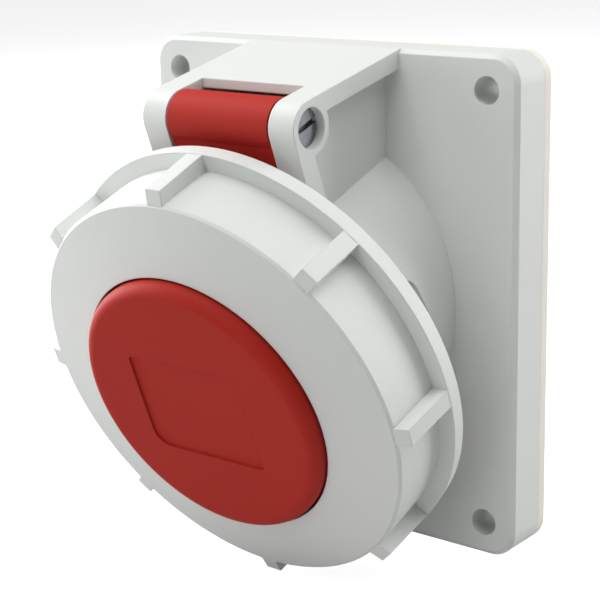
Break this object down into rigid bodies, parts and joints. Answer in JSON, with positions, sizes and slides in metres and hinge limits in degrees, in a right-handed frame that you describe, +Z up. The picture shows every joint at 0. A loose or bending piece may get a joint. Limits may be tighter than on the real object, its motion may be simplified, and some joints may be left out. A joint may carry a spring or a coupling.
{
  "type": "industrial panel socket",
  "caption": "Inclined pin-and-sleeve panel socket with a square flange and a watertight hinged lid closed by a bayonet ring.",
  "frame": {"origin": "middle of the flange, on the plane of the panel that the flange gasket is pressed on", "axes": "+Z up, -Y out of the panel towards the user, X across the flange; the plug's axis points forwards and 20 degrees down"},
  "size_m": [0.1008, 0.0934, 0.1168],
  "materials": {
    "grey_plastic": "light grey moulded polyamide, satin",
    "red_plastic": "signal red moulded polyamide, satin",
    "pale_rubber": "off-white foam rubber",
    "black_rubber": "black nitrile rubber",
    "insert_plastic": "dark grey glass-filled polyamide",
    "sleeve_brass": "turned brass",
    "zinc_steel": "zinc-plated steel",
    "spring_steel": "stainless spring steel",
    "pin_steel": "turned stainless steel"
  },
  "bodies": {
    "socket": {"housing": "grey_plastic", "flange_gasket": "pale_rubber", "carrier_seal": "black_rubber", "contact_carrier": "insert_plastic", "terminal_carrier": "insert_plastic", "carrier_screws": "zinc_steel", "centre_screw": "zinc_steel", "sleeve_l1": "sleeve_brass", "sleeve_l2": "sleeve_brass", "sleeve_l3": "sleeve_brass", "sleeve_n": "sleeve_brass", "sleeve_pe": "sleeve_brass", "sleeve_springs": "spring_steel", "terminal_screws": "zinc_steel", "clamp_plates": "zinc_steel", "hinge_pin": "pin_steel", "lid_spring": "spring_steel"},
    "cover": {"lid": "red_plastic", "lid_gasket": "black_rubber"},
    "ring": {"bayonet_ring": "grey_plastic"}
  },
  "joints": [
    {"name": "lid_hinge", "type": "hinge", "parent": "socket", "child": "cover", "pos_m": [0, -0.0435, 0.04212], "axis": [-1, 0, 0], "range_deg": [0, 120], "stiffness_Nm_per_rad": 0.02, "springref_deg": -60, "deforming": ["lid_spring"]},
    {"name": "ring_turn", "type": "hinge", "parent": "cover", "child": "ring", "pos_m": [0, -0.04778, -0.01359], "axis": [0, 0.9397, 0.342], "range_deg": [0, 30]}
  ]
}
